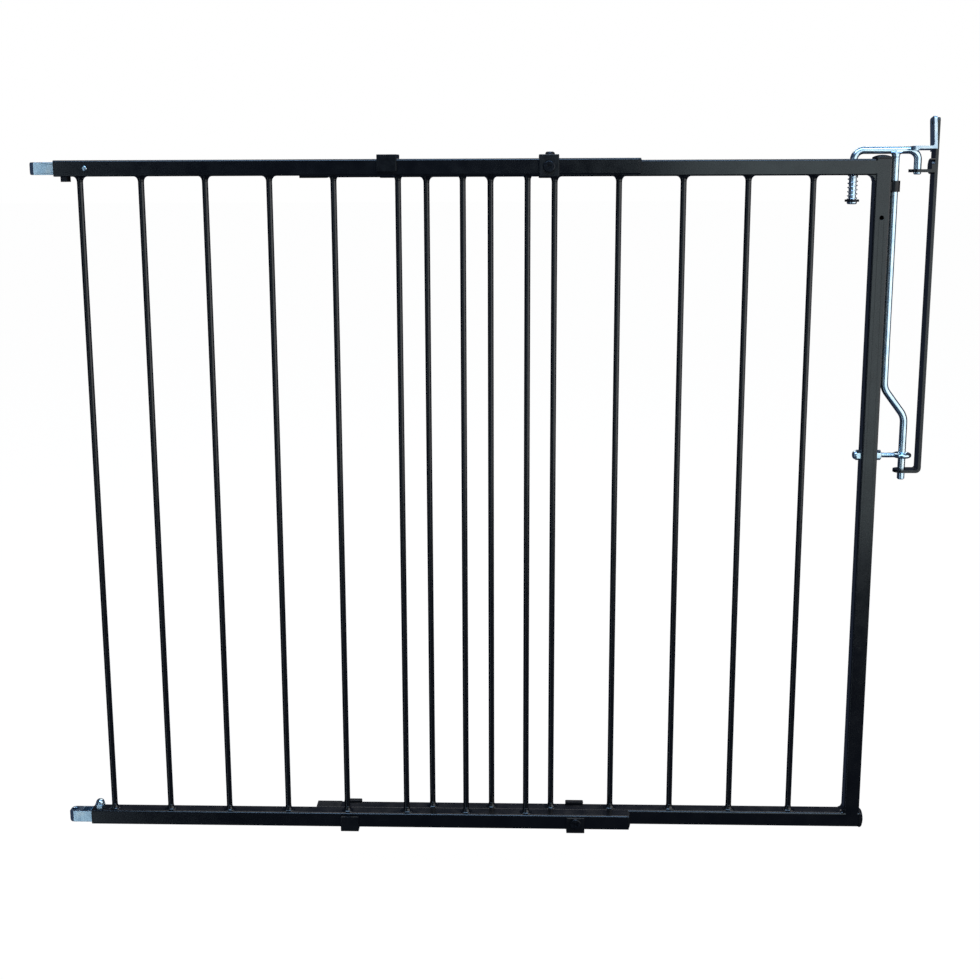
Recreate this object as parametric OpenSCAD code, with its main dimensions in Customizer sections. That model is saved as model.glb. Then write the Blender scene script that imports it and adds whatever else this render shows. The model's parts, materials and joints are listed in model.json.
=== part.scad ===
// Extending metal safety gate with a gravity gate latch.
// Millimetres, +Z up. The gate spans along X, the wall that carries the strike
// is at X = 0 and the gate stands on its -X side. -Y is the side with the hinge
// section. The origin is midway between the strike's two wall screw holes, on
// the strike's wall face.

/* [Gate] */
// Height of each gate section over its rails
gate_h = 749; // [600:1:900]
// Distance between neighbouring bars
bar_pitch = 67.9; // [60:0.1:75]
// Diameter of the round bars
bar_d = 6.4; // [5:0.1:9]
// Number of bars in the latch section
latch_bar_count = 7; // [7:1:7]
// Distance from the latch section's last bar to its end post
post_gap = 70.7; // [66:0.1:74]
// Distance of the end post's axis from the strike's wall face
post_reach = 55.7; // [55:0.1:58]
// Outside width of the square tubes
tube = 17; // [15:0.5:19]
// Wall of the square tubes
tube_wall = 1.5; // [1:0.1:2]
// Outside corner radius of the square tubes
tube_r = 2; // [1:0.1:3]
// Gap between the hinge section's rails and the latch section's rails
section_gap = 1; // [0.6:0.1:3]
// How much lower the latch section hangs than the hinge section
section_drop = 2; // [0:0.5:4]
// Length of a hinge section rail
hinge_rail_len = 613; // [600:1:640]
// How much closer the hinge section's first bar stands to its second
first_bar_shift = 2.9; // [0:0.1:5]
// Left end of a hinge section rail beyond its first bar
hinge_rail_lead = 22.5; // [20:0.5:26]
// Left end of a latch section rail beyond its first bar
latch_rail_lead = 132; // [120:1:140]
// Distance from the hinge section's first bar to the latch section's first bar
section_offset = 368.2; // [340:0.1:380]

/* [Hinge plugs] */
// Outside width and height of a hinge plug
plug_w = 13.2; // [12:0.1:13.8]
// Length of a hinge plug from the tube's end to its pin axis
plug_reach = 20.5; // [16:0.5:24]
// Diameter of the bore for the wall bracket's hinge pin
pin_bore_d = 6.6; // [6:0.1:8]

/* [Latch rod] */
// Diameter of the latch rod
rod_d = 7.9; // [7:0.1:8]
// Radius of the rod's bends at its centreline
rod_bend_r = 10; // [8:0.5:10]
// Height of the rod's cross bar above the latch section's top rail
cross_h = 8.8; // [8.8:0.1:11]
// Distance of the rod's spring leg from the strike's wall face
spring_leg_x = 85.5; // [82:0.5:88]
// Distance of the rod's long stem from the strike's wall face
stem_x = 42; // [42:0.5:43]
// Distance of the rod's catch leg and lower end from the wall face
catch_x = 19; // [18:0.5:21]
// Depth of the catch leg's end below the top rail's upper face
catch_leg_end = 16.5; // [15.5:0.5:18]
// Depth where the stem starts to jog towards the strike
jog_top = 237; // [225:1:240]
// Depth of the stem's lower end below the top rail's upper face
stem_end = 343.5; // [341:0.5:347]
// Depth of the eye bolt's axis below the top rail's upper face
eye_depth = 316.8; // [312:0.1:319]
// Depth of the rod guide's upper edge below the top rail's upper face
guide_depth = 22.8; // [20:0.1:26]
// Wire diameter of the eye bolt
eye_wire = 5.2; // [4.8:0.1:5.4]

/* [Latch spring] */
// Outside diameter of the return spring
spring_d = 10.6; // [10.4:0.1:11.4]
// Wire diameter of the return spring
spring_wire = 1.1; // [1:0.1:1.2]
// Length of the return spring with the latch down
spring_len = 25; // [23:0.5:27]

/* [Strike] */
// Width of the strike bar
strike_w = 16; // [15:0.1:18]
// Thickness of the strike bar and its tabs
strike_t = 3.2; // [3:0.1:4]
// Top of the strike bar above the top rail's upper face
strike_top = 42; // [41:0.1:50]
// Depth of the lower tab's upper face below the top rail's upper face
lower_tab = 332; // [329:0.5:333]
// Depth of the upper tab's upper face below the top rail's upper face
upper_tab = 11; // [10:0.1:12]
// Reach of both tabs from the wall face
tab_reach = 28; // [26:0.5:30]
// Diameter of the tabs' holes for the latch rod
catch_hole_d = 9.6; // [8.8:0.1:10]
// Distance between the strike's two wall screw holes
screw_spacing = 336; // [330:1:340]
// Height of the upper screw hole above the top rail's upper face
screw_h = 36.3; // [34:0.1:38]
// Diameter of the strike's wall screw holes
screw_hole_d = 4.8; // [4.5:0.1:5.5]
// How far the stop bracket hangs askew on its screw, in degrees
stop_tilt = 12; // [10:0.5:14]
// Reach of the stop bracket's tongue from the wall face
stop_reach = 30; // [28:0.5:32]

/* [Clamps] */
// Length of a clamp along the rails
clamp_len = 20.5; // [18:0.5:24]
// Thickness of a clamp's side walls
clamp_wall = 2.6; // [2:0.1:3]
// Sliding clearance between a clamp and the rail that runs in it
clamp_gap = 0.4; // [0.3:0.1:0.8]
// Place of the hinge section's upper clamp beyond that section's first bar
hinge_clamp_top_pos = 497.5; // [490:0.5:500]
// Place of the hinge section's lower clamp beyond that section's first bar
hinge_clamp_low_pos = 531.5; // [525:0.5:540]
// Place of the latch section's upper clamp beyond the hinge section's first bar
latch_clamp_top_pos = 328.5; // [320:0.5:335]
// Place of the latch section's lower clamp beyond the hinge section's first bar
latch_clamp_low_pos = 275; // [270:0.5:280]

/* [Hidden] */
$fn = 48;
eps = 0.01;

// Heights, measured from the origin
latch_rail_top = screw_spacing / 2 - screw_h;
hinge_rail_top = latch_rail_top + section_drop;
screw_z = screw_spacing / 2;
latch_rail_z = latch_rail_top - tube / 2;
latch_low_rail_z = latch_rail_top - gate_h + tube / 2;
hinge_rail_z = hinge_rail_top - tube / 2;
hinge_low_rail_z = hinge_rail_top - gate_h + tube / 2;
bar_len = gate_h - 2 * tube;
eye_z = latch_rail_top - eye_depth;

// Inside of the square tubes
bore_w = tube - 2 * tube_wall;
bore_r = tube_r - tube_wall / 2;

// Places along the gate
post_x = -post_reach;
latch_bar_x = post_x - post_gap - (latch_bar_count - 1) * bar_pitch;
hinge_bar_x = latch_bar_x - section_offset;
hinge_rail_x = hinge_bar_x - hinge_rail_lead;
latch_rail_x = latch_bar_x - latch_rail_lead;
latch_top_rail_len = post_x - tube / 2 - latch_rail_x;
latch_low_rail_len = post_x + tube / 2 - latch_rail_x;

// Places across the gate
latch_y = 0;
hinge_y = -(tube + section_gap);

// Clamp places along the gate
hinge_clamp_top_x = hinge_bar_x + hinge_clamp_top_pos;
hinge_clamp_low_x = hinge_bar_x + hinge_clamp_low_pos;
latch_clamp_top_x = hinge_bar_x + latch_clamp_top_pos;
latch_clamp_low_x = hinge_bar_x + latch_clamp_low_pos;

// Fasteners of the hinge plugs
set_bolt_x = hinge_rail_x + 10.3;
set_bolt_d = 5;
cap_nut_x = hinge_rail_x + 8.5;
rivet_x = hinge_bar_x + 11;
rivet_d = 4;

// Fasteners of the clamps and the eye bolt
clamp_bolt_d = 5;
nut_d = 11.6;
eye_cap_nut_depth = 5;
nut_bore_extra = 0.2;

// Rod holes and strike bends
spring_hole_d = rod_d + 0.6;
strike_bend_r = 5.5;
strap_r = 3;
stop_t = 3;
rod_tip = 1;
post_hole_depth = 61;
post_hole_d = 4.4;

// ---------- shared shapes ----------

// Square with rounded corners, made of squares and circles
module rounded_square(size, r) {
    square([size - 2 * r, size], center = true);
    square([size, size - 2 * r], center = true);
    for (sx = [-1, 1], sy = [-1, 1])
        translate([sx * (size / 2 - r), sy * (size / 2 - r)])
            circle(r = r);
}

// Square tube along +X from the origin
module tube_x(length) {
    rotate([90, 0, 90])
        linear_extrude(height = length)
            difference() {
                rounded_square(tube, tube_r);
                rounded_square(bore_w, bore_r);
            }
}

// Cylinder along +X from the origin
module rod_x(d, length) {
    rotate([0, 90, 0])
        cylinder(d = d, h = length);
}

// Cylinder along -Y from the origin
module rod_front(d, length) {
    rotate([90, 0, 0])
        cylinder(d = d, h = length);
}

// Flat strip with a half-round end at +X, lying flat from the origin
module tongue(length, width, thick) {
    linear_extrude(height = thick) {
        translate([0, -width / 2])
            square([length - width / 2, width]);
        translate([length - width / 2, 0])
            circle(d = width);
    }
}

// Upright strip from the origin with rounded upper corners, its thickness towards -X
module strap(height, width, thick) {
    rotate([0, -90, 0])
        linear_extrude(height = thick) {
            translate([0, -width / 2])
                square([height - strap_r, width]);
            translate([0, -width / 2 + strap_r])
                square([height, width - 2 * strap_r]);
            for (side = [-1, 1])
                translate([height - strap_r, side * (width / 2 - strap_r)])
                    circle(r = strap_r);
        }
}

// Cap on a square tube's end: flange, pillow-shaped head and the stem inside the
// tube. lip is how much wider the flange is than the tube.
module tube_cap(head, lip) {
    flange = 1.6;
    head_r = 24;
    stem = 12;
    linear_extrude(height = flange)
        rounded_square(tube + lip, tube_r);
    translate([0, 0, flange])
        intersection() {
            linear_extrude(height = head)
                rounded_square(tube, tube_r);
            translate([0, 0, head - head_r])
                sphere(r = head_r);
        }
    translate([0, 0, -stem])
        linear_extrude(height = stem)
            rounded_square(bore_w, bore_r);
}

// Low dome: a disc with a rounded upper edge
module dome(d, h, edge) {
    rotate_extrude() {
        square([d / 2 - edge, h]);
        square([d / 2, h - edge]);
        translate([d / 2 - edge, h - edge])
            intersection() {
                circle(r = edge);
                square(edge);
            }
    }
}

// One bend of the latch rod: heads up, turns towards +X
module rod_bend(turn, radius) {
    translate([radius, 0, 0])
        rotate([90, 0, 180])
            rotate_extrude(angle = turn)
                translate([radius, 0])
                    circle(d = rod_d);
}

// Bent rod from the origin upwards, chamfered where it ends. Each move is
// [straight length, turn, radius].
module rod_run(moves, i = 0) {
    if (i < len(moves)) {
        length = moves[i][0];
        turn = moves[i][1];
        radius = moves[i][2];
        cylinder(d = rod_d, h = length);
        if (turn != 0)
            translate([0, 0, length])
                rotate([0, 0, turn < 0 ? 180 : 0]) {
                    rod_bend(abs(turn), radius);
                    translate([radius * (1 - cos(turn)), 0, radius * sin(abs(turn))])
                        rotate([0, abs(turn), 0])
                            rotate([0, 0, turn < 0 ? 180 : 0])
                                rod_run(moves, i + 1);
                }
        else
            translate([0, 0, length])
                cylinder(d1 = rod_d, d2 = rod_d - 2 * rod_tip, h = rod_tip);
    }
}

// ---------- hinge section ----------

module hinge_top_rail() {
    color([0.05, 0.05, 0.06])
        difference() {
            translate([hinge_rail_x, hinge_y, hinge_rail_z])
                tube_x(hinge_rail_len);
            translate([set_bolt_x, hinge_y, hinge_rail_z - tube])
                cylinder(d = set_bolt_d + 0.4, h = tube);
            translate([rivet_x, hinge_y, hinge_rail_z])
                rod_front(rivet_d, tube);
        }
}

module hinge_bottom_rail() {
    color([0.05, 0.05, 0.06])
        difference() {
            translate([hinge_rail_x, hinge_y, hinge_low_rail_z])
                tube_x(hinge_rail_len);
            translate([cap_nut_x, hinge_y, hinge_low_rail_z])
                cylinder(d = set_bolt_d + 0.4, h = tube);
        }
}

module hinge_bar(index) {
    color([0.05, 0.05, 0.06])
        translate([
            hinge_bar_x + index * bar_pitch + (index == 0 ? first_bar_shift : 0),
            hinge_y,
            hinge_low_rail_z + tube / 2
        ])
            cylinder(d = bar_d, h = bar_len);
}

// Plastic plugs that close the hinge section's rails at their free end
module hinge_rail_plugs() {
    color([0.04, 0.04, 0.045])
        for (z = [hinge_rail_z, hinge_low_rail_z])
            translate([hinge_rail_x + hinge_rail_len, hinge_y, z])
                rotate([0, 90, 0])
                    tube_cap(2.4, 0);
}

// U-shaped plug: its round nose holds the hinge pin's bore
module hinge_plug() {
    wall = 2.6;
    inside = 38;
    nose_r = 3.2;
    leg = plug_reach + inside;
    nose = plug_w / 2;
    intersection() {
        translate([0, 0, -nose])
            linear_extrude(height = plug_w)
                difference() {
                    union() {
                        circle(d = plug_w);
                        translate([0, -nose])
                            square([leg, plug_w]);
                    }
                    circle(d = pin_bore_d);
                    translate([nose + wall, wall - nose])
                        square([leg, plug_w - 2 * wall]);
                }
        translate([0, plug_w, 0])
            rotate([90, 0, 0])
                linear_extrude(height = 2 * plug_w) {
                    translate([nose_r - nose, -nose])
                        square([leg + nose, plug_w]);
                    translate([-nose, nose_r - nose])
                        square([nose_r, plug_w - 2 * nose_r]);
                    for (side = [-1, 1])
                        translate([nose_r - nose, side * (nose - nose_r)])
                            circle(r = nose_r);
                }
    }
}

module hinge_plug_top() {
    color([0.75, 0.8, 0.86])
        difference() {
            translate([hinge_rail_x - plug_reach, hinge_y, hinge_rail_z])
                hinge_plug();
            translate([rivet_x, hinge_y, hinge_rail_z])
                rod_front(rivet_d, tube);
        }
}

module hinge_plug_bottom() {
    color([0.75, 0.8, 0.86])
        translate([hinge_rail_x - plug_reach, hinge_y, hinge_low_rail_z])
            hinge_plug();
}

// Set bolt through the top rail's lower wall, up between the plug's legs
module plug_set_bolt() {
    color([0.08, 0.08, 0.09])
        translate([set_bolt_x, hinge_y, hinge_rail_z - tube / 2]) {
            translate([0, 0, -5.4])
                cylinder(d = 11, h = 5.4, $fn = 6);
            cylinder(d = set_bolt_d, h = tube - 2 * tube_wall);
        }
}

// Stud through the bottom rail's upper wall, with its dome nut on top
module plug_cap_nut() {
    color([0.35, 0.36, 0.38])
        translate([cap_nut_x, hinge_y, hinge_low_rail_z + tube / 2]) {
            cylinder(d = nut_d, h = 4.8, $fn = 6);
            translate([0, 0, 4.8])
                dome(9.8, 5.6, 4.6);
            translate([0, 0, -tube + 2 * tube_wall])
                cylinder(d = set_bolt_d, h = tube - 2 * tube_wall);
        }
}

module rail_rivet() {
    color([0.75, 0.8, 0.86])
        translate([rivet_x, hinge_y - tube / 2, hinge_rail_z]) {
            rotate([90, 0, 0])
                dome(5.6, 1.4, 1.2);
            rotate([-90, 0, 0])
                cylinder(d = rivet_d, h = 6);
        }
}

// Outline of a clamp across the gate. hinge_top and latch_top are the heights of
// the two rails' outer faces, fix_hinge is true on a clamp that is bolted to the
// hinge section.
module clamp_profile(hinge_top, latch_top, cover, front_drop, rear_lip, fix_hinge) {
    hinge_fit = fix_hinge ? 0 : clamp_gap;
    latch_fit = fix_hinge ? clamp_gap : 0;
    front = hinge_y - tube / 2 - hinge_fit - clamp_wall;
    rear = latch_y + tube / 2 + latch_fit + clamp_wall;
    lip = 3;
    lip_z = latch_top - tube - latch_fit;
    below = -3 * tube;
    difference() {
        translate([front, lip_z - rear_lip])
            square([rear - front, cover - lip_z + rear_lip]);
        translate([hinge_y - tube / 2 - hinge_fit, below])
            square([tube + hinge_fit + section_gap / 2, hinge_top + hinge_fit - below]);
        translate([latch_y - tube / 2 - section_gap / 2, lip_z])
            square([tube + section_gap / 2 + latch_fit, tube + 2 * latch_fit]);
        translate([latch_y - tube / 2 - section_gap / 2, below])
            square([tube + section_gap / 2 - lip, latch_top - below]);
        translate([front - 1, below])
            square([clamp_wall + 1 + eps, hinge_top - front_drop - below]);
    }
}

// Clamp body along X, centred on the origin
module clamp_body(hinge_top, latch_top, cover, front_drop, rear_lip, fix_hinge) {
    translate([-clamp_len / 2, 0, 0])
        rotate([90, 0, 90])
            linear_extrude(height = clamp_len)
                clamp_profile(hinge_top, latch_top, cover, front_drop, rear_lip, fix_hinge);
}

module hinge_clamp_top() {
    color([0.04, 0.04, 0.045])
        difference() {
            translate([hinge_clamp_top_x, 0, hinge_rail_top])
                clamp_body(0, -section_drop, 4, tube + 1.6, 1.2, true);
            translate([hinge_clamp_top_x, hinge_y, hinge_rail_z])
                rod_front(clamp_bolt_d, tube);
        }
}

// The lower clamps are upper clamps hung upside down
module hinge_clamp_bottom() {
    color([0.04, 0.04, 0.045])
        difference() {
            translate([hinge_clamp_low_x, 0, latch_rail_top - gate_h])
                mirror([0, 0, 1])
                    clamp_body(-section_drop, 0, 1.2, tube - 2, 2.4, true);
            translate([hinge_clamp_low_x, hinge_y, hinge_low_rail_z])
                rod_front(clamp_bolt_d, tube);
        }
}

// Round-headed bolts with a square recess, through the hinge section's clamps
module clamp_bolts() {
    head = 2.6;
    color([0.06, 0.06, 0.07])
        for (place = [[hinge_clamp_top_x, hinge_rail_z], [hinge_clamp_low_x, hinge_low_rail_z]])
            translate([place[0], hinge_y - tube / 2 - clamp_wall, place[1]])
                difference() {
                    union() {
                        rotate([90, 0, 0])
                            dome(12.4, head, 1.2);
                        rotate([-90, 0, 0])
                            cylinder(d = clamp_bolt_d, h = clamp_wall);
                    }
                    translate([-2.2, -head - 1, -2.2])
                        cube([4.4, head, 4.4]);
                }
}

// Dome-headed screw on the upper clamp
module clamp_top_screw() {
    color([0.06, 0.06, 0.07])
        translate([hinge_clamp_top_x + 1, hinge_y, hinge_rail_top + 4])
            dome(10, 2.8, 2.4);
}

// ---------- latch section ----------

module latch_top_rail() {
    color([0.05, 0.05, 0.06])
        difference() {
            translate([latch_rail_x, latch_y, latch_rail_z])
                tube_x(latch_top_rail_len);
            translate([-spring_leg_x, latch_y, latch_rail_z - tube])
                cylinder(d = spring_hole_d, h = 2 * tube);
        }
}

module latch_bottom_rail() {
    color([0.05, 0.05, 0.06])
        translate([latch_rail_x, latch_y, latch_low_rail_z])
            tube_x(latch_low_rail_len);
}

module latch_bar(index) {
    color([0.05, 0.05, 0.06])
        translate([latch_bar_x + index * bar_pitch, latch_y, latch_low_rail_z + tube / 2])
            cylinder(d = bar_d, h = bar_len);
}

// Upright tube: its foot stands on the bottom rail and its head is capped
module end_post() {
    color([0.05, 0.05, 0.06])
        difference() {
            translate([post_x, latch_y, latch_low_rail_z + tube / 2])
                linear_extrude(height = gate_h - tube)
                    difference() {
                        rounded_square(tube, tube_r);
                        rounded_square(bore_w, bore_r);
                    }
            translate([post_x - tube, latch_y, eye_z])
                rod_x(eye_wire + 0.6, 2 * tube);
            translate([post_x, latch_y, latch_rail_top - post_hole_depth])
                rod_front(post_hole_d, tube);
        }
}

// Its head stays just clear of the latch rod's cross bar
module post_cap() {
    color([0.04, 0.04, 0.045])
        translate([post_x, latch_y, latch_rail_top])
            tube_cap(cross_h - rod_d / 2 - 2.4, 1);
}

module rail_end_cap() {
    color([0.04, 0.04, 0.045])
        translate([post_x + tube / 2, latch_y, latch_low_rail_z])
            rotate([0, 90, 0])
                tube_cap(4, 1);
}

// Plastic sleeves on the free ends of the latch section's rails
module glide_sleeves() {
    length = 28;
    cap = 2;
    skin = 0.5;
    color([0.04, 0.04, 0.045])
        for (z = [latch_rail_z, latch_low_rail_z])
            translate([latch_rail_x - cap, latch_y, z])
                rotate([90, 0, 90])
                    difference() {
                        linear_extrude(height = length)
                            rounded_square(tube + 2 * skin, tube_r);
                        translate([0, 0, cap])
                            linear_extrude(height = length)
                                rounded_square(tube, tube_r);
                    }
}

module latch_clamp_top() {
    color([0.04, 0.04, 0.045])
        translate([latch_clamp_top_x, 0, hinge_rail_top])
            clamp_body(0, -section_drop, 4.6, 13, 0.8, false);
}

module latch_clamp_bottom() {
    color([0.04, 0.04, 0.045])
        translate([latch_clamp_low_x, 0, latch_rail_top - gate_h])
            mirror([0, 0, 1])
                clamp_body(-section_drop, 0, 1.8, tube - 3, 2, false);
}

// Guide on the post's side that the rod slides through
module rod_guide() {
    height = 11.5;
    ring_d = 11.6;
    arm_w = 8;
    plate_w = 12;
    plate_t = 0.9;
    post_side = post_x + tube / 2;
    rod_from_post = -stem_x - post_side;
    color([0.04, 0.04, 0.045])
        translate([post_side, latch_y, latch_rail_top - guide_depth - height])
            difference() {
                union() {
                    translate([0, -plate_w / 2, 1])
                        cube([plate_t, plate_w, height - 2]);
                    translate([0, -arm_w / 2, 1])
                        cube([rod_from_post, arm_w, height - 2]);
                    translate([rod_from_post, 0, 0])
                        cylinder(d = ring_d, h = height);
                }
                translate([rod_from_post, 0, -1])
                    cylinder(d = rod_d + 0.6, h = height + 2);
                translate([-ring_d, -ring_d, -1])
                    cube([ring_d, 2 * ring_d, height + 2]);
            }
}

// Threaded eye bolt through the post; the rod slides in its ring
module eye_bolt() {
    ring_r = 7.4;
    shank_len = post_reach + tube / 2 + eye_cap_nut_depth - catch_x;
    color([0.75, 0.8, 0.86])
        translate([-catch_x, latch_y, eye_z]) {
            rotate_extrude()
                translate([ring_r, 0])
                    circle(d = eye_wire);
            translate([-shank_len, 0, 0])
                rod_x(eye_wire, shank_len - ring_r);
        }
}

module eye_lock_nut() {
    thick = 5;
    color([0.75, 0.8, 0.86])
        translate([post_x + tube / 2, latch_y, eye_z])
            difference() {
                rotate([0, 90, 0])
                    cylinder(d = nut_d, h = thick, $fn = 6);
                translate([-1, 0, 0])
                    rod_x(eye_wire, thick + 2);
            }
}

module eye_cap_nut() {
    hex = 4.5;
    depth = eye_cap_nut_depth + nut_bore_extra;
    color([0.75, 0.8, 0.86])
        translate([post_x - tube / 2, latch_y, eye_z])
            difference() {
                rotate([0, -90, 0]) {
                    cylinder(d = nut_d, h = hex, $fn = 6);
                    translate([0, 0, hex])
                        dome(9.6, 3.6, 3.2);
                }
                translate([-depth, 0, 0])
                    rod_x(eye_wire, depth + 1);
            }
}

// ---------- latch rod ----------

// Bow with a spring leg and a catch leg, and the long stem welded below it
module latch_rod() {
    cross_z = latch_rail_top + cross_h;
    spring_leg_end = latch_rail_top - tube - spring_len - 3;
    spring_leg = cross_z - rod_bend_r - spring_leg_end;
    cross_len = spring_leg_x - catch_x - 2 * rod_bend_r;
    catch_leg = cross_h + catch_leg_end - rod_bend_r - rod_tip;
    // The jog leans 3 across for 4 down
    jog_angle = atan(3 / 4);
    jog_r = 19;
    jog_straight = (stem_x - catch_x - 2 * jog_r * (1 - cos(jog_angle))) / sin(jog_angle);
    jog_fall = 2 * jog_r * sin(jog_angle) + jog_straight * cos(jog_angle);
    color([0.75, 0.8, 0.86]) {
        translate([-spring_leg_x, 0, spring_leg_end])
            rod_run([
                [spring_leg, 90, rod_bend_r],
                [cross_len, 90, rod_bend_r],
                [catch_leg, 0, 0]
            ]);
        translate([-stem_x, 0, cross_z])
            rotate([180, 0, 0])
                rod_run([
                    [cross_h + jog_top, jog_angle, jog_r],
                    [jog_straight, -jog_angle, jog_r],
                    [stem_end - jog_top - jog_fall - rod_tip, 0, 0]
                ]);
    }
}

// Space that the return spring's coils fill
module latch_spring() {
    color([0.8, 0.84, 0.88])
        translate([-spring_leg_x, latch_y, latch_rail_top - tube - spring_len])
            difference() {
                cylinder(d = spring_d, h = spring_len);
                translate([0, 0, -1])
                    cylinder(d = spring_d - 2 * spring_wire, h = spring_len + 2);
            }
}

module spring_washer() {
    color([0.2, 0.2, 0.22])
        translate([-spring_leg_x, latch_y, latch_rail_top - tube - spring_len - 2.4])
            difference() {
                cylinder(d = 14.8, h = 2.4);
                translate([0, 0, -1])
                    cylinder(d = rod_d, h = 5);
            }
}

module rod_end_cap() {
    color([0.75, 0.8, 0.86])
        translate([-spring_leg_x, latch_y, latch_rail_top - tube - spring_len - 2.4])
            difference() {
                mirror([0, 0, 1])
                    dome(10.4, 2.6, 1.6);
                translate([0, 0, -0.6])
                    cylinder(d = rod_d, h = 2);
            }
}

// ---------- strike ----------

// Flat bar with its foot bent over into the lower tab
module strike_bar() {
    foot_z = latch_rail_top - lower_tab;
    top_z = latch_rail_top + strike_top;
    color([0.05, 0.05, 0.06])
        difference() {
            union() {
                translate([0, 0, foot_z - strike_t + strike_bend_r])
                    strap(top_z - foot_z + strike_t - strike_bend_r, strike_w, strike_t);
                translate([-strike_bend_r, strike_w / 2, foot_z - strike_t + strike_bend_r])
                    rotate([90, 0, 0])
                        linear_extrude(height = strike_w)
                            intersection() {
                                difference() {
                                    circle(r = strike_bend_r);
                                    circle(r = strike_bend_r - strike_t);
                                }
                                translate([0, -strike_bend_r])
                                    square(strike_bend_r);
                            }
                translate([-strike_bend_r, 0, foot_z - strike_t])
                    mirror([1, 0, 0])
                        tongue(tab_reach - strike_bend_r, strike_w, strike_t);
            }
            translate([-catch_x, 0, foot_z - 2 * strike_t])
                cylinder(d = catch_hole_d, h = 3 * strike_t);
            for (z = [-screw_z, screw_z])
                translate([-2 * strike_t, 0, z])
                    rod_x(screw_hole_d, 3 * strike_t);
        }
}

// Angle on the bar's face: a short upstand and the upper tab
module strike_top_tab() {
    tab_z = latch_rail_top - upper_tab;
    color([0.05, 0.05, 0.06])
        difference() {
            union() {
                translate([-strike_t, 0, tab_z - strike_t])
                    mirror([1, 0, 0])
                        tongue(tab_reach - strike_t, strike_w, strike_t);
                translate([-strike_t, 0, tab_z - strike_t])
                    rotate([0, -90, 0])
                        tongue(upper_tab + strike_t, strike_w, strike_t);
            }
            translate([-catch_x, 0, tab_z - 2 * strike_t])
                cylinder(d = catch_hole_d, h = 3 * strike_t);
        }
}

// Zinc angle, askew on the upper screw: its tongue stands in front of the catch leg
module stop_bracket() {
    head = 6.2;
    foot = 28.5;
    tongue_w = 8.9;
    inner_r = 2.2;
    color([0.75, 0.8, 0.86])
        translate([-strike_t, 0, screw_z])
            rotate([-stop_tilt, 0, 0])
                difference() {
                    union() {
                        translate([0, 0, -foot])
                            strap(foot + head, strike_w, stop_t);
                        translate([0, (tongue_w - strike_w) / 2, -foot]) {
                            mirror([1, 0, 0])
                                tongue(stop_reach - strike_t, tongue_w, stop_t);
                            translate([-stop_t - inner_r, tongue_w / 2, stop_t])
                                rotate([90, 0, 0])
                                    linear_extrude(height = tongue_w)
                                        difference() {
                                            square(inner_r);
                                            translate([0, inner_r])
                                                circle(r = inner_r);
                                        }
                        }
                    }
                    translate([-2 * stop_t, 0, 0])
                        rod_x(screw_hole_d, 3 * stop_t);
                }
}

hinge_top_rail();
hinge_bottom_rail();
hinge_bar(0);  // hinge_bar_1
hinge_bar(1);  // hinge_bar_2
hinge_bar(2);  // hinge_bar_3
hinge_bar(3);  // hinge_bar_4
hinge_bar(4);  // hinge_bar_5
hinge_bar(5);  // hinge_bar_6
hinge_bar(6);  // hinge_bar_7
hinge_bar(7);  // hinge_bar_8
hinge_rail_plugs();
hinge_plug_top();
hinge_plug_bottom();
plug_set_bolt();
plug_cap_nut();
rail_rivet();
hinge_clamp_top();
hinge_clamp_bottom();
clamp_bolts();
clamp_top_screw();
latch_top_rail();
latch_bottom_rail();
end_post();
latch_bar(0);  // latch_bar_1
latch_bar(1);  // latch_bar_2
latch_bar(2);  // latch_bar_3
latch_bar(3);  // latch_bar_4
latch_bar(4);  // latch_bar_5
latch_bar(5);  // latch_bar_6
latch_bar(6);  // latch_bar_7
post_cap();
rail_end_cap();
glide_sleeves();
latch_clamp_top();
latch_clamp_bottom();
rod_guide();
eye_bolt();
eye_lock_nut();
eye_cap_nut();
latch_rod();
latch_spring();
spring_washer();
rod_end_cap();
strike_bar();
strike_top_tab();
stop_bracket();
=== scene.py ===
"""Studio picture of an extending safety gate with its gravity latch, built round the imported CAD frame."""
import json
import math
import random

import bmesh
import bpy
from mathutils import Matrix, Vector


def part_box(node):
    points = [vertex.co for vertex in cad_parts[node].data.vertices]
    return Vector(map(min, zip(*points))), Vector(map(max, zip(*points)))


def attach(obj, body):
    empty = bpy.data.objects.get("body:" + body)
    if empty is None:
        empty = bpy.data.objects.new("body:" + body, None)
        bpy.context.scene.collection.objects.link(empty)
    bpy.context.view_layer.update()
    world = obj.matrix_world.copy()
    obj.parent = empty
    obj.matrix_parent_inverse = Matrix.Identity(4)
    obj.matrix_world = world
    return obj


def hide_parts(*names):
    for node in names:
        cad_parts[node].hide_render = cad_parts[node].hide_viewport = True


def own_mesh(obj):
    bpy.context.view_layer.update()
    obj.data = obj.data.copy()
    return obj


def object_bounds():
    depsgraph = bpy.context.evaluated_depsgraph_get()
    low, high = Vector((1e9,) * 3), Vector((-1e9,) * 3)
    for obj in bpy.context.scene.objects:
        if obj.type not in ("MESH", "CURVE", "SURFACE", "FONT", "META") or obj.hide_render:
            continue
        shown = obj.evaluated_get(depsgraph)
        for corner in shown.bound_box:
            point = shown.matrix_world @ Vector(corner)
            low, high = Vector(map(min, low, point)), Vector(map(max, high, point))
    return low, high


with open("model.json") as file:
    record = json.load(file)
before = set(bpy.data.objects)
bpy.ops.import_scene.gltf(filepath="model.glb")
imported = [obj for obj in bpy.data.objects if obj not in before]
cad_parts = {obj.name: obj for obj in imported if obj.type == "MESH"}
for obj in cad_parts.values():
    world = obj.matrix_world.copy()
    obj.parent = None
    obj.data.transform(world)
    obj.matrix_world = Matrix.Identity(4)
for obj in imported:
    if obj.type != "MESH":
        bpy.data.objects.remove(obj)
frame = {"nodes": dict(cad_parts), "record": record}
cad_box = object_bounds()
nodes = frame["nodes"]

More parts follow.
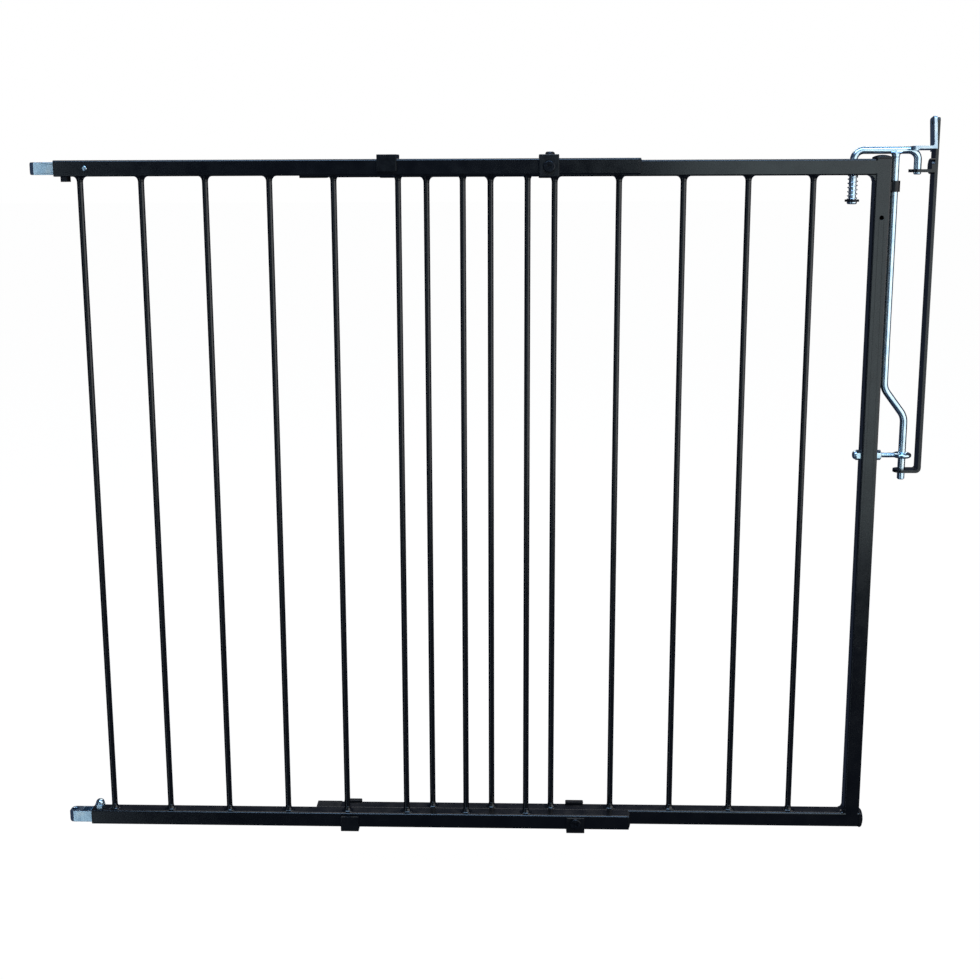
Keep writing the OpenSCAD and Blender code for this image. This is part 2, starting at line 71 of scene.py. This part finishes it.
MM = 0.001
HINGE_BARS = [f"hinge_bar_{i}" for i in range(1, 9)]
LATCH_BARS = [f"latch_bar_{i}" for i in range(1, 8)]

# Corner radius of the gate's square tubes
TUBE_CORNER = 2 * MM
# How far a weld fillet starts inside the metal that it sits on
WELD_SINK = 0.3 * MM
# Straight steps in one turn of a coil
STEPS_PER_TURN = 28

# Edge radii in millimetres: the usual one, and where a piece's differ from it
USUAL_EDGE_RADIUS = 0.35
EDGE_RADII = {
    "hinge_plug_top": 0.7,
    "hinge_plug_bottom": 0.7,
    "hinge_clamp_top": 0.8,
    "hinge_clamp_bottom": 0.8,
    "latch_clamp_top": 0.8,
    "latch_clamp_bottom": 0.8,
    "plug_set_bolt": 0.6,
}


# ---------- shader helpers ----------

class Shader:
    """A material under construction: one Principled shader and the nodes that feed it."""

    def __init__(self, name, **settings):
        self.material = bpy.data.materials.new(name)
        self.material.use_nodes = True
        self.tree = self.material.node_tree
        self.bsdf = self.tree.nodes["Principled BSDF"]
        for socket, value in settings.items():
            self.bsdf.inputs[socket.replace("_", " ")].default_value = value
        self.coords = self.add("ShaderNodeTexCoord").outputs["Object"]

    def add(self, kind, **values):
        node = self.tree.nodes.new(kind)
        for key, value in values.items():
            setattr(node, key, value)
        return node

    def link(self, output, target):
        self.tree.links.new(output, target)

    def noise(self, scale, detail=3.0, roughness=0.5, stretch=(1, 1, 1)):
        """Noise from 0 to 1. scale is in cells per metre; a stretch under 1 draws it out along that axis."""
        mapping = self.add("ShaderNodeMapping")
        mapping.inputs["Scale"].default_value = stretch
        self.link(self.coords, mapping.inputs["Vector"])
        noise = self.add("ShaderNodeTexNoise")
        noise.inputs["Scale"].default_value = scale
        noise.inputs["Detail"].default_value = detail
        noise.inputs["Roughness"].default_value = roughness
        self.link(mapping.outputs["Vector"], noise.inputs["Vector"])
        return noise.outputs["Fac"]

    def spread(self, value, low, high, start=0.3, end=0.7):
        """Maps a noise value to the range low..high."""
        node = self.add("ShaderNodeMapRange")
        node.inputs["From Min"].default_value = start
        node.inputs["From Max"].default_value = end
        node.inputs["To Min"].default_value = low
        node.inputs["To Max"].default_value = high
        self.link(value, node.inputs["Value"])
        return node.outputs["Result"]

    def colours(self, value, *stops):
        """Colour ramp through (position, colour) stops."""
        node = self.add("ShaderNodeValToRGB")
        ramp = node.color_ramp
        while len(ramp.elements) < len(stops):
            ramp.elements.new(0.5)
        for element, (position, colour) in zip(ramp.elements, stops):
            element.position = position
            element.color = (*colour, 1)
        self.link(value, node.inputs["Fac"])
        return node.outputs["Color"]

    def bump(self, *layers):
        """Stacks bump layers, each (height, strength, depth in metres)."""
        normal = None
        for height, strength, depth in layers:
            node = self.add("ShaderNodeBump")
            node.inputs["Strength"].default_value = strength
            node.inputs["Distance"].default_value = depth
            self.link(height, node.inputs["Height"])
            if normal:
                self.link(normal, node.inputs["Normal"])
            normal = node.outputs["Normal"]
        self.link(normal, self.bsdf.inputs["Normal"])


# ---------- materials ----------

def powder_coat():
    """Gloss black powder coat: orange peel, a faint cloudiness and dust nibs."""
    shader = Shader("black_powder_coat", Coat_Weight=0.35, Coat_Roughness=0.12, Specular_IOR_Level=0.5)
    cloud = shader.noise(22, 2)
    shader.link(
        shader.colours(cloud, (0.3, (0.0018, 0.0020, 0.0026)), (0.7, (0.0038, 0.0040, 0.0050))),
        shader.bsdf.inputs["Base Color"],
    )
    shader.link(shader.spread(shader.noise(70, 3), 0.2, 0.32), shader.bsdf.inputs["Roughness"])
    peel = shader.noise(650, 2, 0.45)
    nibs = shader.spread(shader.noise(2400, 1), 0, 1, 0.68, 0.8)
    shader.bump((peel, 0.22, 0.00012), (nibs, 0.12, 0.00006))
    return shader.material


def nylon():
    """Moulded black nylon: satin, with a fine spark-eroded grain."""
    shader = Shader("black_nylon", Specular_IOR_Level=0.45)
    cloud = shader.noise(45, 2)
    shader.link(
        shader.colours(cloud, (0.3, (0.0030, 0.0031, 0.0036)), (0.7, (0.0062, 0.0063, 0.0072))),
        shader.bsdf.inputs["Base Color"],
    )
    shader.link(shader.spread(shader.noise(160, 3), 0.28, 0.42), shader.bsdf.inputs["Roughness"])
    shader.bump((shader.noise(3800, 4, 0.6), 0.22, 0.00008), (shader.noise(260, 2), 0.08, 0.0001))
    return shader.material


def fastener_black():
    """Blackened steel: dark metal with a slightly uneven oxide."""
    shader = Shader("black_fastener", Metallic=0.75)
    cloud = shader.noise(260, 3)
    shader.link(
        shader.colours(cloud, (0.3, (0.012, 0.013, 0.016)), (0.7, (0.034, 0.036, 0.042))),
        shader.bsdf.inputs["Base Color"],
    )
    shader.link(shader.spread(shader.noise(420, 3), 0.22, 0.4), shader.bsdf.inputs["Roughness"])
    shader.bump((shader.noise(2200, 3), 0.15, 0.00005))
    return shader.material


def zinc(name, low, high, rough_low, rough_high, drawn):
    """Bright zinc plate: cool tints and fine draw lines, which a drawn value under 1 lengthens along Z."""
    shader = Shader(name, Metallic=1.0)
    tint = shader.noise(85, 3, 0.55)
    shader.link(
        shader.colours(tint, (0.25, low), (0.55, high), (0.8, (0.86, 0.90, 0.88))),
        shader.bsdf.inputs["Base Color"],
    )
    smear = shader.noise(240, 4, 0.6, (1, 1, 0.25))
    shader.link(shader.spread(smear, rough_low, rough_high), shader.bsdf.inputs["Roughness"])
    lines = shader.noise(2600, 2, 0.5, (1, 1, drawn))
    grain = shader.noise(1500, 4, 0.6)
    shader.bump((lines, 0.10, 0.00006), (grain, 0.10, 0.00005))
    return shader.material


def studio_white():
    """Floor as white as the backdrop. Most of it is glow, so at most a trace of shadow shows on it."""
    glow_share = 0.95
    shader = Shader("studio_floor", Roughness=0.8)
    shader.link(
        shader.colours(shader.noise(3, 2), (0.3, (0.88, 0.88, 0.875)), (0.7, (0.90, 0.90, 0.90))),
        shader.bsdf.inputs["Base Color"],
    )
    glow = shader.add("ShaderNodeEmission")
    glow.inputs["Color"].default_value = (1, 1, 1, 1)
    glow.inputs["Strength"].default_value = 1.04
    mix = shader.add("ShaderNodeMixShader")
    mix.inputs["Fac"].default_value = glow_share
    shader.link(shader.bsdf.outputs["BSDF"], mix.inputs[1])
    shader.link(glow.outputs["Emission"], mix.inputs[2])
    shader.link(mix.outputs["Shader"], shader.tree.nodes["Material Output"].inputs["Surface"])
    return shader.material


FINISHES = {
    "black_powder_coat": powder_coat(),
    "black_nylon": nylon(),
    "black_fastener": fastener_black(),
    "zinc_plate": zinc("zinc_plate", (0.50, 0.68, 0.82), (0.70, 0.86, 0.95), 0.14, 0.28, 0.03),
    "spring_wire": zinc("spring_wire", (0.76, 0.81, 0.87), (0.90, 0.93, 0.96), 0.14, 0.26, 1.0),
}


# ---------- CAD pieces ----------

def finish_nodes():
    """Gives every CAD node its material, and softens its edges as coating and plating do."""
    for part in frame["record"]["subparts"]:
        node = nodes[part["node"]]
        node.data.materials.clear()
        node.data.materials.append(FINISHES[part["material_slot"]])
        for polygon in node.data.polygons:
            polygon.use_smooth = True
        weld = node.modifiers.new("weld", "WELD")
        weld.merge_threshold = 0.01 * MM
        bevel = node.modifiers.new("edge", "BEVEL")
        bevel.width = EDGE_RADII.get(part["node"], USUAL_EDGE_RADIUS) * MM
        bevel.segments = 2
        bevel.limit_method = "ANGLE"
        bevel.angle_limit = math.radians(32)
        bevel.harden_normals = False
        bevel.miter_outer = "MITER_ARC"
        shade = node.modifiers.new("shade", "WEIGHTED_NORMAL")
        shade.weight = 80
        shade.keep_sharp = True


# ---------- pieces that only the picture needs ----------

def add_piece(name, lofts, slot, body, smooth=True):
    """One mesh made of several closed lofts. A loft is a list of rings, and a ring is a list of points."""
    build = bmesh.new()
    for rings in lofts:
        loops = [[build.verts.new(point) for point in ring] for ring in rings]
        for lower, upper in zip(loops, loops[1:]):
            for i in range(len(lower)):
                j = (i + 1) % len(lower)
                build.faces.new((lower[i], lower[j], upper[j], upper[i]))
        build.faces.new(loops[0])
        build.faces.new(loops[-1])
    bmesh.ops.recalc_face_normals(build, faces=build.faces)
    mesh = bpy.data.meshes.new(name)
    build.to_mesh(mesh)
    build.free()
    for polygon in mesh.polygons:
        polygon.use_smooth = smooth and len(polygon.vertices) == 4
    mesh.materials.append(FINISHES[slot])
    piece = bpy.data.objects.new(name, mesh)
    bpy.context.scene.collection.objects.link(piece)
    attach(piece, body)
    return piece


def weld_collar(base, up, radius, flare, height, side_share, luck):
    """Lumpy weld fillet round a bar, from base up or down. side_share scales the flare along Y."""
    steps = 7
    sides = 28
    off_bar = 0.05 * MM
    phases = [luck.uniform(0, 2 * math.pi) for _ in range(2)]
    rings = []
    for step in range(steps + 1):
        rise = step / steps
        spread = flare * (1 - math.sqrt(1 - (1 - rise) ** 2))
        ring = []
        for side in range(sides):
            angle = 2 * math.pi * side / sides
            lump = 1 + 0.12 * math.sin(2 * angle + phases[0]) + 0.06 * math.sin(5 * angle + phases[1])
            share = math.hypot(math.cos(angle), side_share * math.sin(angle))
            reach = radius + off_bar + spread * lump * share
            lift = up * (height * rise - WELD_SINK)
            ring.append(base + Vector((reach * math.cos(angle), reach * math.sin(angle), lift)))
        rings.append(ring)
    return rings


def add_bar_welds():
    """Fillets where every bar meets its two rails."""
    flare = 4.8 * MM
    height = 5.8 * MM
    side_share = 0.55
    luck = random.Random(4)
    for section, bars in (("hinge", HINGE_BARS), ("latch", LATCH_BARS)):
        collars = []
        for bar in bars:
            low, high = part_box(bar)
            centre = (low + high) / 2
            radius = (high.x - low.x) / 2
            for z, up in ((low.z, 1), (high.z, -1)):
                base = Vector((centre.x, centre.y, z))
                collars.append(weld_collar(base, up, radius, flare, height, side_share, luck))
        add_piece(section + "_bar_welds", collars, "black_powder_coat", section + "_section")


def add_corner_welds():
    """Fillets in the two inner corners between the end post and the latch section's rails."""
    faces = (-8.4 * MM, 8.4 * MM)
    steps = 8
    post_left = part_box("end_post")[0].x
    lofts = []
    for rail, up, reach in (("latch_top_rail", -1, 6 * MM), ("latch_bottom_rail", 1, 3.5 * MM)):
        low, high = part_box(rail)
        corner = Vector((post_left, 0, high.z if up > 0 else low.z))
        profile = [(WELD_SINK, -WELD_SINK * up), (-reach, -WELD_SINK * up)]
        for step in range(steps + 1):
            angle = math.pi / 2 * step / steps
            profile.append((-reach + reach * math.sin(angle), up * (reach - reach * math.cos(angle))))
        profile.append((WELD_SINK, up * reach))
        lofts.append([[corner + Vector((x, y, z)) for x, z in profile] for y in faces])
    add_piece("post_corner_welds", lofts, "black_powder_coat", "latch_section")


def block(low, high):
    """Loft for a plain block between two corners."""
    ring = [(low[0], low[1]), (high[0], low[1]), (high[0], high[1]), (low[0], high[1])]
    return [[Vector((x, y, z)) for x, y in ring] for z in (low[2], high[2])]


def add_ground_seams():
    """Weld metal, ground almost flush, in the grooves where the end post meets the two rails."""
    post_low, post_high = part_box("end_post")
    top_low, top_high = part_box("latch_top_rail")
    foot_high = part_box("latch_bottom_rail")[1]
    proud = 0.03 * MM
    overlap = 0.6 * MM
    left = post_low.x - overlap
    right = post_low.x + TUBE_CORNER + overlap
    front = post_low.y - proud
    back = post_high.y + proud
    rail_floor = top_low.z + TUBE_CORNER
    seams = [
        block((left, front, rail_floor), (right, back, top_high.z - TUBE_CORNER)),
        block((left, front + TUBE_CORNER, rail_floor), (right, back - TUBE_CORNER, top_high.z + proud)),
        block(
            (post_low.x + TUBE_CORNER, front, foot_high.z - TUBE_CORNER - overlap),
            (post_high.x - TUBE_CORNER, back, foot_high.z + overlap),
        ),
    ]
    add_piece("post_ground_seams", seams, "black_powder_coat", "latch_section", smooth=False)


def add_rod_weld():
    """Fillet where the long stem hangs from the latch rod's cross bar."""
    radius = 3.95 * MM
    flare = 3.4 * MM
    height = 5.4 * MM
    side_share = 0.02
    guide_to_stem = 5.8 * MM
    below_top = 1.6 * radius
    stem_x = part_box("rod_guide")[1].x - guide_to_stem
    base = Vector((stem_x, 0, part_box("latch_rod")[1].z - below_top))
    rings = weld_collar(base, -1, radius, flare, height, side_share, random.Random(9))
    add_piece("rod_weld", [rings], "zinc_plate", "latch_rod")


def coil(start, along, across, radius, wire, length, turns, flat, sides):
    """Rings of a helical wire. wire is its radius, flat how many turns at either end have no pitch."""
    third = along.cross(across)
    steps = int(turns * STEPS_PER_TURN)
    rings = []
    for step in range(steps + 1):
        turn = turns * step / steps
        rise = min(max((turn - flat) / (turns - 2 * flat), 0), 1)
        centre = start + along * (wire + (length - 2 * wire) * rise)
        out = across * math.cos(2 * math.pi * turn) + third * math.sin(2 * math.pi * turn)
        ring = []
        for side in range(sides):
            angle = 2 * math.pi * side / sides
            ring.append(centre + out * (radius + wire * math.cos(angle)) + along * (wire * math.sin(angle)))
        rings.append(ring)
    return rings


def add_spring():
    """Real coils in place of the CAD sleeve."""
    low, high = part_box("latch_spring")
    wire = 0.55 * MM
    turns = 7
    flat = 0.75
    sides = 10
    radius = (high.x - low.x) / 2 - wire
    length = high.z - low.z
    start = Vector(((low.x + high.x) / 2, (low.y + high.y) / 2, low.z))
    rings = coil(start, Vector((0, 0, 1)), Vector((1, 0, 0)), radius, wire, length, turns, flat, sides)
    spring = add_piece("spring_coils", [rings], "spring_wire", "latch_section")
    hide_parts("latch_spring")
    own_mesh(spring)


def add_thread():
    """Thread on the eye bolt's shank, between its lock nut and its ring."""
    ring_length = 20 * MM
    ring_gap = 1.5 * MM
    inside_nut = 0.6 * MM
    shank = 2.5 * MM
    ridge = 0.3 * MM
    pitch = MM
    sides = 6
    low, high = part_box("eye_bolt")
    ring_left = high.x - ring_length
    start = Vector((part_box("eye_lock_nut")[1].x - inside_nut, 0, (low.z + high.z) / 2))
    length = ring_left - start.x - ring_gap
    turns = length / pitch
    rings = coil(start, Vector((1, 0, 0)), Vector((0, 0, 1)), shank, ridge, length, turns, 0, sides)
    add_piece("eye_bolt_thread", [rings], "zinc_plate", "latch_section")


# ---------- studio ----------

def add_floor():
    """Wide floor a little below the gate. It takes no part in what the gate reflects."""
    reach = 30
    below_gate = 0.06
    corners = [(-reach, -reach, 0), (reach, -reach, 0), (reach, reach, 0), (-reach, reach, 0)]
    mesh = bpy.data.meshes.new("studio_floor")
    mesh.from_pydata(corners, [], [(0, 1, 2, 3)])
    floor = bpy.data.objects.new("studio_floor", mesh)
    bpy.context.scene.collection.objects.link(floor)
    centre = (cad_box[0] + cad_box[1]) / 2
    floor.location = (centre.x, centre.y, cad_box[0].z - below_gate)
    mesh.materials.append(studio_white())
    floor.visible_glossy = False
    floor.visible_diffuse = False
    floor.visible_shadow = False


def add_light(name, place, target, size, radiance, colour=(1, 1, 1)):
    """Soft box at place, aimed at target. size is (width, height) in metres; the camera doesn't see it."""
    data = bpy.data.lights.new(name, "AREA")
    data.shape = "RECTANGLE"
    data.size, data.size_y = size
    data.energy = radiance * math.pi * size[0] * size[1]
    data.color = colour
    light = bpy.data.objects.new(name, data)
    bpy.context.scene.collection.objects.link(light)
    light.location = place
    light.rotation_euler = (Vector(target) - Vector(place)).to_track_quat("-Z", "Y").to_euler()
    light.visible_camera = False


def add_world():
    """White backdrop for the camera, and a dim bluish room for the light that falls on the gate."""
    room_colour = (0.45, 0.60, 1.0, 1)
    room_strength = 0.07
    world = bpy.data.worlds.new("studio")
    bpy.context.scene.world = world
    world.use_nodes = True
    tree = world.node_tree
    room = tree.nodes["Background"]
    room.inputs["Color"].default_value = room_colour
    room.inputs["Strength"].default_value = room_strength
    backdrop = tree.nodes.new("ShaderNodeBackground")
    backdrop.inputs["Color"].default_value = (1, 1, 1, 1)
    backdrop.inputs["Strength"].default_value = 1.0
    rays = tree.nodes.new("ShaderNodeLightPath")
    mix = tree.nodes.new("ShaderNodeMixShader")
    tree.links.new(rays.outputs["Is Camera Ray"], mix.inputs["Fac"])
    tree.links.new(room.outputs["Background"], mix.inputs[1])
    tree.links.new(backdrop.outputs["Background"], mix.inputs[2])
    tree.links.new(mix.outputs["Shader"], tree.nodes["World Output"].inputs["Surface"])


def add_camera():
    """In front of the gate and above its middle, looking slightly down and a little to the left."""
    data = bpy.data.cameras.new("camera")
    data.sensor_width = 36
    data.lens = 49.85
    data.shift_x = 0.0181
    data.shift_y = -0.0728
    data.clip_start = 0.05
    data.clip_end = 60
    camera = bpy.data.objects.new("camera", data)
    bpy.context.scene.collection.objects.link(camera)
    camera.location = (-0.4378, -1.4585, 0.1260)
    pitch = Matrix.Rotation(math.radians(90 - 10.547), 4, "X")
    yaw = Matrix.Rotation(math.radians(1.904), 4, "Z")
    roll = Matrix.Rotation(math.radians(-0.251), 4, "Z")
    camera.rotation_euler = (yaw @ pitch @ roll).to_euler()
    bpy.context.scene.camera = camera


finish_nodes()
add_bar_welds()
add_corner_welds()
add_ground_seams()
add_rod_weld()
add_spring()
add_thread()
add_floor()
add_world()
add_light("front", (0.25, -1.9, -0.05), (-0.3, 0, -0.05), (0.6, 1.5), 1.25, (0.80, 0.97, 1.0))
add_light("right", (1.1, -1.0, 0.2), (-0.1, 0, 0), (1.8, 1.8), 1.35)
add_light("above", (-0.45, -1.2, 1.7), (-0.45, 0, 0), (2.2, 0.8), 8.0, (0.4, 0.65, 1.0))
add_light("behind", (-0.45, 1.9, 1.9), (-0.45, 0, -0.1), (2.4, 1.2), 2.5)
add_light("left", (-1.78, -1.9, -0.6), (-1.0, 0, -0.3), (0.34, 2.6), 1.2, (0.70, 0.88, 1.0))
add_camera()
bpy.context.scene.view_settings.view_transform = "Standard"
